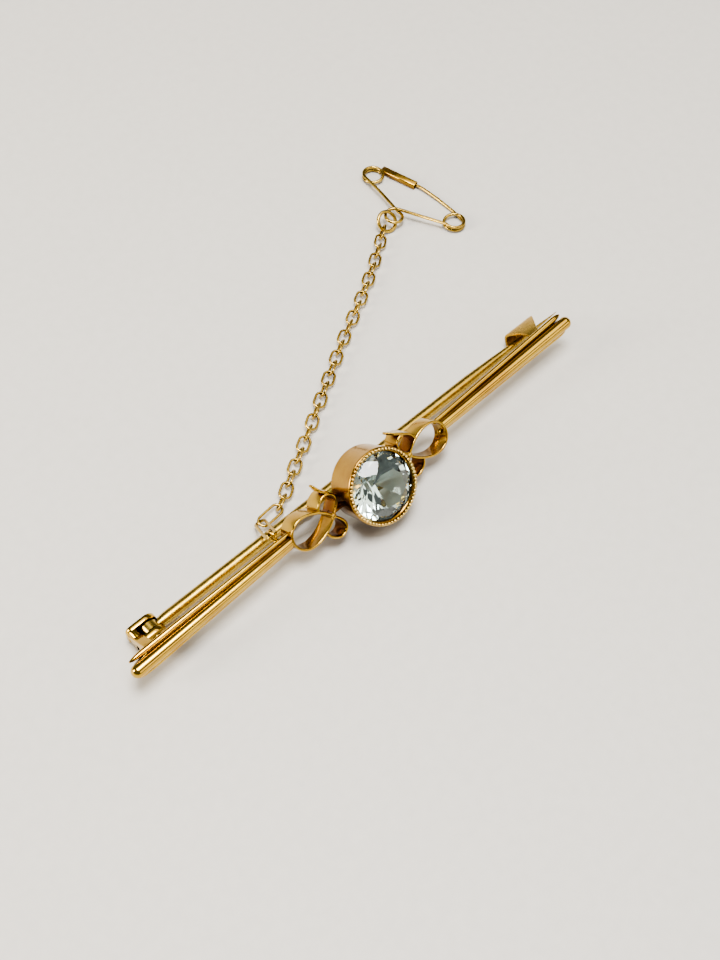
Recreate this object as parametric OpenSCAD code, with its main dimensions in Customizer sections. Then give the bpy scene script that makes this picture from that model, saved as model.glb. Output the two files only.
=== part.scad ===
/* [Bar] */
// length of the bar over its two rounded ends
bar_len = 55; // [48:0.5:62]
// radius of the raised middle reed at the bar's ends
reed_r = 0.62; // [0.55:0.01:0.7]
// radius of the two side reeds at the bar's ends
side_r = 0.29; // [0.2:0.01:0.35]
// slight turn of each arm away from the bar's line, in degrees
arm_lean = 1.6; // [0:0.1:2]

/* [Bows] */
// length of the large loop from the crossing to its outer end
loop_len = 4.6; // [4:0.1:5]
// thickness of the strip that the bows are bent from
strip_t = 0.24; // [0.2:0.02:0.3]
// height of that strip, front to back
strip_h = 2; // [1.4:0.1:2.4]

/* [Collet and stone] */
// outer radius of the collet at its rim
collet_r = 3.65; // [3.55:0.05:3.8]
// height of the rim in front of the bar
rim_front = 2.97; // [2.4:0.05:3.4]
// girdle radius of the stone
stone_r = 3.2; // [3:0.05:3.25]
// width of the table as a part of the girdle
table_part = 0.58; // [0.5:0.01:0.65]

/* [Pin and catch] */
// radius of the pin stem
stem_r = 0.57; // [0.4:0.01:0.6]
// reach of the pin's tip past the middle of the bar
tip_x = 29.3; // [27.5:0.1:30]
// distance of the hinge from the middle of the bar
hinge_x = 23.3; // [22.5:0.1:24]
// depth of the pin behind the bar
pin_depth = 3.28; // [3.1:0.02:3.4]

/* [Safety chain] */
// thickness of the wire of the small links
link_wire = 0.25; // [0.2:0.01:0.28]
// length of a small link
link_len = 1.98; // [1.9:0.02:2.1]
// width of a small link
link_w = 1.35; // [1.25:0.05:1.4]
// thickness of the jump ring's wire
ring_wire = 0.38; // [0.3:0.02:0.4]
// thickness of the safety pin's wire
pin_wire = 0.3; // [0.24:0.02:0.3]

/* [Rest] */
// turn of the bar about its length as it rests on the table
tilt = 52.5; // [50:0.5:55]

/* [Hidden] */
$fn = 40;
gap = 0.06;
gold = [0.85, 0.68, 0.38];
steel_blue = [0.75, 0.86, 0.88];
half_len = bar_len / 2;
// the collet's back edge rests on the table
collet_back = -0.6;
collet_base = 3.45;
rest_z = collet_base * sin(tilt) - collet_back * cos(tilt);
hinge_y = pin_depth * sin(tilt);
hinge_z = rest_z - pin_depth * cos(tilt);
// moves the middle of the whole part's outline to the origin
mid_x = (32.5 - half_len) / 2;
mid_y = (31.07 - 4.55) / 2;

// bows
bow_x = 4.75;
bow_y = -0.25;
bow_front = 0.9;
arm_x = bow_x + loop_len - 0.1;
// step of each arm to the side it doesn't lean to
arm_step = 0.11;
small_loop = [[0, 0], [-0.45, 0.5], [-0.82, 1.05], [-0.84, 1.6], [-0.5, 2.02], [0.05, 2.18], [0.6, 1.98],
  [1.02, 1.6], [1.26, 1.08]];
left_end = [[-0.5, 2.02], [-0.15, 2.4], [0.3, 2.75], [0.68, 3.42]];
right_end = [[0.6, 1.98], [0.1, 2.3], [-0.5, 2.62], [-1.25, 3.06]];
end_h = 1.2;

// stone heights, measured in front of the bar
girdle_top = rim_front - 0.35;
girdle_t = 0.12;
seat_r = stone_r + 0.1;
crown_h = stone_r * (1 - table_part) * 0.74;
pavilion_h = stone_r * 0.9;

// hinge
eye_r = 0.9;
eye_w = 0.9;
cheek_t = 0.5;
rivet_r = 0.35;
cheek_y = eye_w / 2 + gap;

// catch, back sheet and lip, as height and depth
catch_x = 24.6;
catch_line = [[0.72, -0.05], [1.0, -0.9], [1.14, -2], [1.16, -3.3], [1.0, -3.85], [0.62, -4.12], [0, -4.28],
  [-0.42, -4.38]];
// front view of the catch, as distance along the bar and depth
catch_face = [[23.3, 0.5], [24.5, 0.5], [24.6, -0.9], [25.4, -2], [26.4, -3.4], [26.3, -5], [22.7, -5],
  [22.9, -3.4], [23.3, -2], [23.3, -0.9]];
catch_t = 0.3;

// safety chain
eye_at = [-10.25, 1.28, 3.56];
end_link_top = [-10.25, 1.32, 3.52];
end_link_foot = [-8.98, 4.74, 0.42];
side_link_a = [-9.24, 4.28, 0.82];
side_link_b = [-6.5, 4.6, 0.62];
chain_route = [[-6.76, 4.54], [-5.4, 5.24], [-3.7, 6.3], [-1.2, 7.75], [1.15, 9.1], [3.4, 10.45], [5.7, 11.8],
  [8.3, 13.35], [11.75, 15.35], [14.8, 16.97], [18.2, 18.88], [21.2, 20.75], [23.05, 22], [24.83, 23.3]];
chain_z = 0.64;
big_wire = 0.3;

// jump ring and safety pin
ring_r = 1.05;
ring_tilt = 41;
ring_z = ring_r * sin(ring_tilt) + ring_wire / 2 + 0.01;
loop_at = [26.58, 23.53];
loop_r = 0.92;
ring_at = [loop_at[0] - ring_r, loop_at[1], ring_z];
head_at = [29.55, 29.85];
head_r = 1.07;
coil_at = [31.05, 18.85];
coil_r = 1.08;
wire_low = pin_wire / 2 + 0.01;
turn_rise = pin_wire + 0.05;

// a smooth line through route points
function mix4(a, b, c, d, t) =
  0.5 * (2 * b + (c - a) * t + (2 * a - 5 * b + 4 * c - d) * t * t + (3 * b - 3 * c + d - a) * t * t * t);
function ends(p) = concat([2 * p[0] - p[1]], p, [2 * p[len(p) - 1] - p[len(p) - 2]]);
function smooth_in(q, n) =
  [for (i = [1 : len(q) - 3], j = [0 : n - 1]) mix4(q[i - 1], q[i], q[i + 1], q[i + 2], j / n)];
function smooth(p, n) = concat(smooth_in(ends(p), n), [p[len(p) - 1]]);

// the outline of a strip of thickness w along a flat line
function unit(v) = v / norm(v);
function left(v) = [-v[1], v[0]];
function along(p, i) = unit(p[min(i + 1, len(p) - 1)] - p[max(i - 1, 0)]);
function side_line(p, d) = [for (i = [0 : len(p) - 1]) p[i] + d * left(along(p, i))];
function flip(p) = [for (i = [len(p) - 1 : -1 : 0]) p[i]];
function strip(p, w) = concat(side_line(p, w / 2), flip(side_line(p, -w / 2)));

// a teardrop with its point at the crossing
function drop(t) = [loop_len * (1 - cos(t)) / 2, 1.87 * sin(t) * pow(sin(t / 2), 0.7)];

// an arc as points, rising evenly from z0 to z1
function arc(c, r, a0, a1, z0, z1, n) =
  [for (i = [0 : n])
    let (a = a0 + (a1 - a0) * i / n)
    [c[0] + r * cos(a), c[1] + r * sin(a), z0 + (z1 - z0) * i / n]];

// places the brooch, drawn face up, as it rests on the table
module posed() {
  translate([-mid_x, -mid_y, rest_z])
    rotate([tilt, 0, 0])
      children();
}

// places pieces of the hinge: x along the bar, y along the rivet
module at_hinge() {
  translate([-hinge_x - mid_x, hinge_y - mid_y, hinge_z])
    children();
}

module floor_placed() {
  translate([-mid_x, -mid_y, 0])
    children();
}

// a round rod along x that grows from r0 to r1 and ends in a cap of the given length
module reed(len, r0, r1, cap) {
  curve = [for (i = [0 : 8]) let (a = i * 90 / 8) [r1 * cos(a), len - cap + cap * sin(a)]];
  rotate([0, 90, 0])
    rotate_extrude($fn = 32)
      polygon(concat([[0, 0], [r0, 0]], [for (p = curve) [max(p[0], 0), p[1]]]));
}

// a thin reed beside the middle one, with a long rounded point of length taper
module side_reed(len, s, taper) {
  fan = atan(0.29 / len);
  tip = [for (i = [0 : 8])
    let (b = i / 8)
    [side_r * sqrt(1 - 0.97 * pow(b, 2.4)), len - taper * (1 - b)]];
  translate([-0.1, s * 0.58, 0])
    rotate([0, 0, s * fan])
      rotate([0, 90, 0])
        rotate_extrude($fn = 32)
          polygon(concat([[0, 0], [0.22, 0]], tip, [[0, len]]));
}

// one arm: three reeds on a thin back strip, toward +x
module arm(lean, taper) {
  len = half_len - arm_x;
  translate([arm_x, -arm_step * sign(lean), 0])
    rotate([0, 0, lean]) {
      translate([0, 0, 0.4])
        rotate([0, -0.35, 0])
          reed(len, 0.7 * reed_r, reed_r, 0.6);
      for (s = [-1, 1])
        side_reed(len - 0.4, s, taper);
      translate([0, 0, -0.18])
        linear_extrude(0.38)
          polygon([[0, -0.55], [len - 3, -0.8], [len - 0.7, -0.42], [len - 0.7, 0.42], [len - 3, 0.8],
            [0, 0.55]]);
    }
}

// flat outline of one bow: a large loop and two small ones
module bow_outline() {
  big = [for (i = [0 : 60]) drop(i * 6)];
  polygon(strip(big, strip_t));
  for (s = [-1, 1])
    scale([1, s])
      polygon(strip(smooth(small_loop, 5), strip_t));
  circle(r = strip_t, $fn = 24);
}

// one bow with the cut end of its ribbon and its post
module bow(turn, ribbon_end) {
  translate([bow_x, bow_y, bow_front])
    rotate([0, 0, turn]) {
      translate([0, 0, -strip_h])
        linear_extrude(strip_h)
          bow_outline();
      translate([0, 0, -end_h])
        linear_extrude(end_h)
          polygon(strip(smooth(ribbon_end, 4), strip_t));
    }
  // short post between the crossing and the collet
  translate([collet_base - 0.35, bow_y, -0.1])
    rotate([0, 90, 0])
      cylinder(r = 0.34, h = bow_x - collet_base + 0.45, $fn = 24);
}

module collet() {
  seat_n = girdle_top - girdle_t - 0.04;
  rotate_extrude($fn = 96)
    polygon([[2.85, collet_back], [collet_base, collet_back], [collet_r, rim_front - 0.37],
      [collet_r, rim_front - 0.12], [collet_r - 0.1, rim_front], [seat_r, rim_front + 0.03],
      [stone_r - 0.08, rim_front - 0.05], [seat_r, girdle_top + 0.1], [seat_r, seat_n],
      [2.85, seat_n - 0.9 * (seat_r - 2.85)]]);
}

// catch behind the bar: a flared sheet bent over into an open hook
module catch() {
  intersection() {
    translate([catch_x - 3, 0, 0])
      rotate([90, 0, 90])
        linear_extrude(6)
          polygon(strip(smooth(catch_line, 3), catch_t));
    translate([0, 3, 0])
      rotate([90, 0, 0])
        linear_extrude(6)
          polygon(catch_face);
  }
}

// stem of the hinge bracket, behind the bar
module hinge_post() {
  translate([-hinge_x - 1.9, -0.7, -pin_depth - 0.3])
    cube([0.9, 1.4, pin_depth + 0.25]);
}

// the two cheeks that hold the rivet
module hinge_cheeks() {
  width = 2 * (cheek_y + cheek_t);
  round_r = 0.55;
  side = hinge_z - round_r;
  corner = [for (a = [90 : 15 : 180]) [round_r - 1.9 + round_r * cos(a), side + round_r * sin(a)]];
  back = concat(corner, [for (p = flip(corner)) [p[0], -p[1]]]);
  difference() {
    rotate([90, 0, 0]) {
      cylinder(r = hinge_z, h = width, center = true);
      linear_extrude(width, center = true)
        polygon(concat([[0, -hinge_z], [0, hinge_z]], back));
    }
    translate([-1, -cheek_y, -2])
      cube([4, 2 * cheek_y, 4]);
    rotate([90, 0, 0])
      cylinder(r = rivet_r + 0.01, h = 6, center = true, $fn = 32);
  }
}

// small ring on the bar's back that carries the chain
module chain_eye() {
  translate(eye_at - [mid_x, mid_y, 0]) {
    rotate([0, 90, 0])
      rotate_extrude($fn = 32)
        translate([0.54, 0])
          circle(r = 0.14, $fn = 16);
    translate([0, -0.6, -0.12])
      sphere(r = 0.3, $fn = 24);
  }
}

module brooch_frame() {
  color(gold) {
    posed() {
      arm(arm_lean, 1.2);
      mirror([1, 0, 0])
        arm(-arm_lean, 2.2);
      translate([0.1, 0, 0])
        bow(-2.5, right_end);
      mirror([1, 0, 0])
        bow(5, left_end);
      collet();
      catch();
      hinge_post();
    }
    at_hinge()
      hinge_cheeks();
    chain_eye();
  }
}

module stone() {
  t = stone_r * table_part;
  mid_r = stone_r * (1 + table_part) / 2 * 1.02;
  low_r = stone_r * 0.3;
  mid_h = girdle_top + crown_h * (stone_r - mid_r * cos(22.5)) / (stone_r - t);
  bottom = girdle_top - girdle_t;
  low_h = bottom - pavilion_h * (stone_r - low_r * cos(22.5)) / stone_r;
  points = concat(
    [for (i = [0 : 7]) [t * cos(45 * i), t * sin(45 * i), girdle_top + crown_h]],
    [for (i = [0 : 7]) [mid_r * cos(45 * i + 22.5), mid_r * sin(45 * i + 22.5), mid_h]],
    [for (i = [0 : 15]) [stone_r * cos(22.5 * i), stone_r * sin(22.5 * i), girdle_top]],
    [for (i = [0 : 15]) [stone_r * cos(22.5 * i), stone_r * sin(22.5 * i), bottom]],
    [for (i = [0 : 7]) [low_r * cos(45 * i + 22.5), low_r * sin(45 * i + 22.5), low_h]],
    [[0, 0, bottom - pavilion_h]]);
  faces = concat(
    [[7, 6, 5, 4, 3, 2, 1, 0]],
    [for (i = [0 : 7]) [i, (i + 1) % 8, 8 + i]],
    [for (i = [0 : 7]) [i, 8 + i, 16 + 2 * i, 8 + (i + 7) % 8]],
    [for (i = [0 : 7]) [8 + i, 17 + 2 * i, 16 + 2 * i]],
    [for (i = [0 : 7]) [8 + i, 16 + (2 * i + 2) % 16, 17 + 2 * i]],
    [for (i = [0 : 15]) [16 + i, 16 + (i + 1) % 16, 32 + (i + 1) % 16, 32 + i]],
    [for (i = [0 : 7]) [48 + i, 32 + 2 * i, 33 + 2 * i]],
    [for (i = [0 : 7]) [48 + i, 33 + 2 * i, 32 + (2 * i + 2) % 16]],
    [for (i = [0 : 7]) [56, 48 + (i + 7) % 8, 32 + 2 * i, 48 + i]]);
  color(steel_blue)
    posed()
      rotate([0, 0, 12])
        polyhedron(points, faces);
}

// pin: a flat eye at the hinge, a round stem and a sharp tip
module pin_stem() {
  reach = tip_x + hinge_x;
  color(gold)
    at_hinge() {
      difference() {
        union() {
          rotate([90, 0, 0])
            cylinder(r = eye_r, h = eye_w, center = true);
          translate([0.3, -eye_w / 2, -0.5])
            cube([1.2, eye_w, 1]);
        }
        rotate([90, 0, 0])
          cylinder(r = rivet_r + 0.03, h = 6, center = true, $fn = 32);
      }
      rotate([0, 90, 0])
        rotate_extrude($fn = 32)
          polygon([[0, 1.3], [0.45, 1.3], [stem_r, 1.6], [stem_r, 39.5], [stem_r * 0.8, 43],
            [stem_r * 0.42, 48.3], [0.03, reach], [0, reach]]);
    }
}

module hinge_rivet() {
  out = cheek_y + cheek_t + 0.02;
  color(gold)
    at_hinge() {
      rotate([90, 0, 0])
        cylinder(r = rivet_r, h = 2 * out + 0.1, center = true, $fn = 32);
      for (s = [-1, 1])
        translate([0, s * (out + 0.09), 0])
          rotate([90, 0, 0])
            cylinder(r = 0.55, h = 0.18, center = true, $fn = 32);
    }
}

// one closed wire link: half circles joined by straight sides, in the x y plane
function link_point(len, w, wire, t) =
  let (r = (w - wire) / 2, s = (len - w) / 2)
  [r * cos(t) + (cos(t) > 0.01 ? s : cos(t) < -0.01 ? -s : 0), r * sin(t), 0];

module link(len, w, wire, n, m) {
  step = 360 / n;
  line = [for (i = [0 : n - 1]) link_point(len, w, wire, step * (i + 0.5))];
  points = [for (i = [0 : n - 1], j = [0 : m - 1])
    let (d = unit(line[(i + 1) % n] - line[(i + n - 1) % n]), a = 360 * j / m)
    line[i] + wire / 2 * (cos(a) * [d[1], -d[0], 0] + [0, 0, sin(a)])];
  faces = [for (i = [0 : n - 1], j = [0 : m - 1])
    [i * m + j, i * m + (j + 1) % m, ((i + 1) % n) * m + (j + 1) % m, ((i + 1) % n) * m + j]];
  polyhedron(points, faces, convexity = 4);
}

// a link from a to b, its flat side turned toward the direction up
module link_between(a, b, up, w, wire, n, m) {
  ex = unit(b - a);
  ez = unit(up - (up * ex) * ex);
  ey = cross(ez, ex);
  c = (a + b) / 2 - [mid_x, mid_y, 0];
  rows = [for (i = [0 : 2]) [ex[i], ey[i], ez[i], c[i]]];
  multmatrix(concat(rows, [[0, 0, 0, 1]]))
    link(norm(b - a) + wire, w, wire, n, m);
}

function run(p, i) = i == 0 ? 0 : run(p, i - 1) + norm(p[i] - p[i - 1]);

// small links lie flat and stand on edge by turns along the route
module small_links() {
  fine = smooth(chain_route, 4);
  total = run(fine, len(fine) - 1);
  xs = [for (i = [0 : len(fine) - 1]) [run(fine, i), fine[i][0]]];
  ys = [for (i = [0 : len(fine) - 1]) [run(fine, i), fine[i][1]]];
  hook = link_wire + 0.14;
  count = 2 * round((total / (link_len - link_wire - hook) - 1) / 2) + 1;
  pitch = total / count;
  for (k = [0 : count - 1]) {
    a = [lookup(k * pitch, xs), lookup(k * pitch, ys), chain_z];
    b = [lookup((k + 1) * pitch, xs), lookup((k + 1) * pitch, ys), chain_z];
    d = unit(b - a);
    turn = (k % 2 == 0 ? 62 : -12) + 5 * sin(140 * k);
    up = [-d[1] * sin(turn), d[0] * sin(turn), cos(turn)];
    link_between(a - d * hook / 2, b + d * hook / 2, up, link_w, link_wire, 14, 6);
  }
}

module safety_chain() {
  color(gold) {
    link_between(end_link_top, end_link_foot, [0, 0.68, 0.73], 1.3, big_wire, 16, 6);
    link_between(side_link_a, side_link_b, [0, -0.1, 1], 1.35, link_wire, 16, 6);
    small_links();
  }
}

module jump_ring() {
  color(gold)
    floor_placed()
      translate(ring_at)
        rotate([ring_tilt, 0, 0])
          rotate_extrude($fn = 48)
            translate([ring_r, 0])
              circle(r = ring_wire / 2, $fn = 20);
}

// a round wire along a line that never stands upright
module wire_along(p, r, m) {
  n = len(p);
  points = [for (i = [0 : n - 1], j = [0 : m - 1])
    let (d = along(p, i), s = unit([d[1], -d[0], 0]), u = cross(s, d), a = 360 * j / m)
    p[i] + r * (cos(a) * s + sin(a) * u)];
  sides = [for (i = [0 : n - 2], j = [0 : m - 1])
    [i * m + j, i * m + (j + 1) % m, (i + 1) * m + (j + 1) % m, (i + 1) * m + j]];
  first = [for (j = [m - 1 : -1 : 0]) j];
  last = [for (j = [0 : m - 1]) (n - 1) * m + j];
  polyhedron(points, concat([first], sides, [last]), convexity = 8);
}

module safety_pin() {
  head_end = wire_low + 1.5 * turn_rise;
  head = arc(head_at, head_r, 0, 540, wire_low, head_end, 36);
  small = arc(loop_at, loop_r, 12, -338, head_end, head_end + turn_rise + 0.04, 26);
  coil = arc(coil_at, coil_r, 172, 724, wire_low + 1.6 * turn_rise, wire_low, 40);
  back = smooth([head[36], [28.2, 27.6, head_end], [27.85, 25.6, head_end], small[0]], 3);
  front = smooth([[32.13, 18.97, wire_low], [32.3, 20.1, 0.19], [32.33, 22.5, 0.26], [32.2, 24.8, 0.33],
    [31.95, 25.9, 0.35], [31.62, 27.2, 0.35], [31.35, 28.5, 0.35]], 4);
  color(gold)
    floor_placed() {
      wire_along(concat(head, back, small, coil, front), pin_wire / 2, 8);
      cap_sleeve();
    }
}

// folded sleeve over the safety pin's point, open toward the coil
module cap_sleeve() {
  translate([31.95, 25.6, 0.01])
    rotate([0, 0, 103])
      difference() {
        translate([0, -0.42, 0])
          cube([4.4, 0.84, 0.68]);
        translate([-1, -0.28, 0.13])
          cube([4.6, 0.56, 0.42]);
      }
}

brooch_frame();
stone();
pin_stem();
hinge_rivet();
safety_chain();
jump_ring();
safety_pin();
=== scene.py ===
import math
from types import SimpleNamespace

import bpy
import numpy as np
from bpy.props import FloatProperty, FloatVectorProperty, IntProperty, PointerProperty
from mathutils import Matrix


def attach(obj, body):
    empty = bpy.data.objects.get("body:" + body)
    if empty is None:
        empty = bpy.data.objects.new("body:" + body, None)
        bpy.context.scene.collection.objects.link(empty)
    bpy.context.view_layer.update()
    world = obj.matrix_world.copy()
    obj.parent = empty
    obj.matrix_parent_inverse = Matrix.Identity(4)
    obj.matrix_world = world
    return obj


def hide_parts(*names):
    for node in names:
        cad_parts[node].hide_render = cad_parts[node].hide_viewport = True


bl_info = {
    "name": "Bar Brooch with Safety Chain",
    "version": (1, 0, 0),
    "blender": (4, 5, 0),
    "location": "View3D > Sidebar > Brooch",
    "description": "Dresses a gold bar brooch with bows, a pale blue stone, a pin, a chain and a safety pin",
    "category": "Object",
}

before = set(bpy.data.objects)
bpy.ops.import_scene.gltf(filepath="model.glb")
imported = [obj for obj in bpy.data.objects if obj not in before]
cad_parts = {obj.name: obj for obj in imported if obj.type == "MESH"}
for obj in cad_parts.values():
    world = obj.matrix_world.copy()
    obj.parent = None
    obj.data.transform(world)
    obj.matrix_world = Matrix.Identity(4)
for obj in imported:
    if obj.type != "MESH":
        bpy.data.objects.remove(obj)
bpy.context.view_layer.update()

# Places are in millimetres. The brooch is drawn face up round the middle of its bar, with x along the bar and
# z out of its face, and at_rest turns it. The chain and the safety pin are drawn as they lie on the table.

# middle of the whole part's outline, seen from above
MIDDLE = np.array([2.5, 13.26, 0.0])

# each arm: its side of the bar and the length of its side reeds' points; then its step off the bar's line
ARMS = ((1, 1.2), (-1, 2.2))
ARM_STEP = 0.11
# middle reed: length of its rounded cap, height of its middle, and the turn in degrees that lifts its end
REED_CAP = 0.6
REED_Z = 0.4
REED_SLOPE = -0.35
# side reeds: how far each lies from the arm's middle, and how much further at its end
SIDE_GAP = 0.58
SIDE_SPREAD = 0.29

# bows: where the loops meet, height of their front edge, factor of the large loop's half width, and height
# of the ribbon ends
BOW_AT = np.array([4.75, -0.25, 0.0])
BOW_FRONT = 0.9
LOOP_WIDE = 1.87
END_HEIGHT = 1.2
SMALL_LOOP = [[0, 0], [-0.45, 0.5], [-0.82, 1.05], [-0.84, 1.6], [-0.5, 2.02], [0.05, 2.18], [0.6, 1.98],
              [1.02, 1.6], [1.26, 1.08]]
LEFT_END = [[-0.5, 2.02], [-0.15, 2.4], [0.3, 2.75], [0.68, 3.42]]
RIGHT_END = [[0.6, 1.98], [0.1, 2.3], [-0.5, 2.62], [-1.25, 3.06]]
# each bow: its side of the bar, its lean in degrees, its shift outward and the line of its ribbon end
BOWS = ((1, -2.5, 0.1, RIGHT_END), (-1, 5, 0, LEFT_END))
# posts that carry the bows: radius, and height of their middle
POST_R = 0.34
POST_Z = -0.1

# collet: height of its back edge, outer radius there, radius of its hole, and radius of the rim's beads
COLLET_BACK = -0.6
COLLET_BASE = 3.45
COLLET_HOLE = 2.85
BEAD_R = 0.16

# catch: y and z of the middle of its sheet, from the bar down; z and both edges along x; half its thickness
CATCH_LINE = [[0.72, 0.1], [1.0, -0.9], [1.14, -2], [1.16, -3.3], [1.0, -3.85], [0.62, -4.12], [0, -4.28],
              [-0.42, -4.38]]
CATCH_EDGES = [[0.5, 23.3, 24.5], [-0.9, 23.3, 24.6], [-2, 23.3, 25.4], [-3.4, 22.9, 26.4], [-5, 22.7, 26.3]]
CATCH_HALF = 0.15

# hinge: inner and outer face of each cheek, how far behind the rivet its back corners are centred, their
# radius, and the rivet's
CHEEK_IN = 0.51
CHEEK_OUT = 1.01
CHEEK_BACK = 1.35
CHEEK_CORNER = 0.55
RIVET_R = 0.35
# the pin's flat eye: inner and outer radius and half thickness
PIN_EYE = (0.385, 0.9, 0.45)

# chain: the eye that carries it with its radius and wire radius, then both ends of each larger link, its
# width and the vector square to it
CHAIN_EYE = np.array([-10.25, 1.28, 3.56])
EYE_R = 0.54
EYE_WIRE = 0.14
FIRST_LINK = ([-10.25, 1.32, 3.52], [-8.98, 4.74, 0.42], 1.3, [0, 0.68, 0.73])
SECOND_LINK = ([-9.24, 4.28, 0.82], [-6.5, 4.6, 0.62], 1.35, [0, -0.1, 1.0])
# small links: their route on the table, height of their middles, spare length where two of them hook, and
# the rolls that they take by turns in degrees, with a slight swing
CHAIN_ROUTE = [[-6.76, 4.54], [-5.4, 5.24], [-3.7, 6.3], [-1.2, 7.75], [1.15, 9.1], [3.4, 10.45], [5.7, 11.8],
               [8.3, 13.35], [11.75, 15.35], [14.8, 16.97], [18.2, 18.88], [21.2, 20.75], [23.05, 22],
               [24.83, 23.3]]
CHAIN_Z = 0.64
HOOK_SPARE = 0.14
LINK_ROLLS = (62, -12)
LINK_SWING = 5

# jump ring: radius of its middle line, and its tilt in degrees
RING_R = 1.05
RING_TILT = 41

# safety pin: middle and radius of its side loop, head ring and coil, and the lines between them
LOOP_AT = (26.58, 23.53)
LOOP_R = 0.92
HEAD_AT = (29.55, 29.85)
HEAD_R = 1.07
COIL_AT = (31.05, 18.85)
COIL_R = 1.08
BACK_WIRE = [[28.2, 27.6], [27.85, 25.6]]
FRONT_WIRE = [[32.3, 20.1, 0.19], [32.33, 22.5, 0.26], [32.2, 24.8, 0.33], [31.95, 25.9, 0.35],
              [31.62, 27.2, 0.35], [31.35, 28.5, 0.35]]
# sleeve: place of its mouth, its turn in degrees and its height; then its sections, each a distance from the
# mouth, half width, half height and corner radius, from the closed end to the mouth and back inside
SLEEVE_AT = np.array([31.95, 25.6, 0.01])
SLEEVE_TURN = 103
SLEEVE_Z = 0.34
SLEEVE = [[4.4, 0.3, 0.2, 0.02], [4.37, 0.37, 0.28, 0.1], [4.3, 0.42, 0.34, 0.2], [2, 0.42, 0.34, 0.2],
          [0.05, 0.42, 0.34, 0.2], [0, 0.39, 0.31, 0.18], [0, 0.31, 0.24, 0.12], [0.06, 0.28, 0.21, 0.1],
          [2, 0.28, 0.21, 0.1], [3.55, 0.28, 0.21, 0.1]]

# lamps: direction the light comes from, distance and size in metres, power and colour; the panel is so wide
# and far that it has no size, only the angle it fills, in degrees
LAMPS = {
    "overhead_panel": ((0.22, -0.05, 0.97), 0.4, None, 1.55, "#FFF6E6"),
    "crown_light": ((-0.02, -0.08, 1.0), 0.33, (0.13, 0.13), 1.3, "#FFFFFF"),
    "front_softbox": ((0.38, -0.80, 0.42), 0.36, (0.30, 0.14), 0.25, "#FFF6E8"),
    "left_softbox": ((-0.80, 0.40, 0.45), 0.32, (0.08, 0.16), 0.9, "#FFF4E4"),
}
PANEL_ANGLE = 56
# camera, fitted to the photograph's view: its right, up and back directions, and its place in metres
CAMERA = ((0.72603, -0.6876, 0.00915), (0.5731, 0.61238, 0.54457), (-0.38004, -0.39013, 0.83867),
          (-0.0488105, -0.0600086, 0.1046998))
CAMERA_LENS = 49.668

# turns of the rings that round a flat bar's ends, and points round each quarter of its section
END_TURNS = np.radians([20, 45, 70, 90])
CORNER_POINTS = 6
# sockets of a Mix node that mixes colours
FACTOR, FIRST, SECOND, MIXED = 0, 6, 7, 2


def length(name, text, value):
    """A size in metres from its value in millimetres."""
    return FloatProperty(name=name, description=text, default=value / 1000, min=0, precision=5,
                         unit="LENGTH", subtype="DISTANCE")


def linear(hexcode):
    """A linear colour from an sRGB hex value."""
    part = np.array([int(hexcode[i:i + 2], 16) for i in (1, 3, 5)]) / 255
    part = np.where(part <= 0.04045, part / 12.92, ((part + 0.055) / 1.055) ** 2.4)
    return (*part.tolist(), 1.0)


def colour(name, text, hexcode):
    """A colour setting from an sRGB hex value."""
    return FloatVectorProperty(name=name, description=text, default=linear(hexcode), size=4, min=0, max=1,
                               subtype="COLOR")


class BroochSizes(bpy.types.PropertyGroup):
    bar_length: length("Bar length", "Length of the bar over its two rounded ends", 55)
    reed: length("Middle reed", "Radius of the raised middle reed at the bar's ends", 0.62)
    side_reed: length("Side reeds", "Radius of the two side reeds at the bar's ends", 0.29)
    loop: length("Large loop", "Length of a bow's large loop", 4.6)
    strip: length("Strip thickness", "Thickness of the strip that the bows are bent from", 0.24)
    strip_height: length("Strip height", "Height of that strip, front to back", 2)
    collet: length("Collet radius", "Outer radius of the collet at its rim", 3.65)
    rim: length("Rim height", "Height of the rim in front of the bar", 2.97)
    stone: length("Stone radius", "Girdle radius of the stone", 3.2)
    stem: length("Pin radius", "Radius of the pin stem", 0.57)
    tip: length("Pin tip", "Reach of the pin's tip past the middle of the bar", 29.3)
    hinge: length("Hinge place", "Distance of the hinge from the middle of the bar", 23.3)
    pin_depth: length("Pin depth", "Depth of the pin behind the bar", 3.28)
    link_wire: length("Link wire", "Thickness of the wire of the small links", 0.25)
    link_length: length("Link length", "Length of a small link", 1.98)
    link_width: length("Link width", "Width of a small link", 1.35)
    big_wire: length("Large link wire", "Thickness of the wire of the first link", 0.3)
    ring_wire: length("Ring wire", "Thickness of the jump ring's wire", 0.38)
    pin_wire: length("Safety pin wire", "Thickness of the safety pin's wire", 0.34)


class BroochShape(bpy.types.PropertyGroup):
    tilt: FloatProperty(name="Tilt", description="Turn of the bar about its length as it rests",
                        default=math.radians(52.5), subtype="ANGLE")
    lean: FloatProperty(name="Arm turn", description="Slight turn of each arm away from the bar's line",
                        default=math.radians(1.6), subtype="ANGLE")
    table_part: FloatProperty(name="Table", description="Width of the table as a part of the girdle",
                              default=0.58, min=0.4, max=0.7)
    beads: IntProperty(name="Rim beads", description="Number of milled beads round the rim",
                       default=62, min=24, max=96)


class BroochFinish(bpy.types.PropertyGroup):
    gold: colour("Gold", "Polished nine carat gold", "#CFAC50")
    gold_warm: colour("Warm gold", "The same gold where it is a little redder", "#BB9346")
    # groove colour: old polish and dirt, and painted shade too, laid wherever other metal is near
    groove_dirt_and_shade: colour("Crevice", "Old polish and dirt in the grooves", "#2C1D0D")
    wire: colour("Wire", "Drawn gold wire of the pin and the chain", "#C9AB58")
    stone: colour("Stone", "Pale blue of the cut stone", "#DDEFEC")
    floor: colour("Floor", "Pale table top", "#D8D5CF")


def millimetres(context):
    """All the sizes as plain millimetre numbers."""
    group = context.scene.brooch_sizes
    return SimpleNamespace(**{key: getattr(group, key) * 1000 for key in BroochSizes.__annotations__})


# Points and lines


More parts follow.
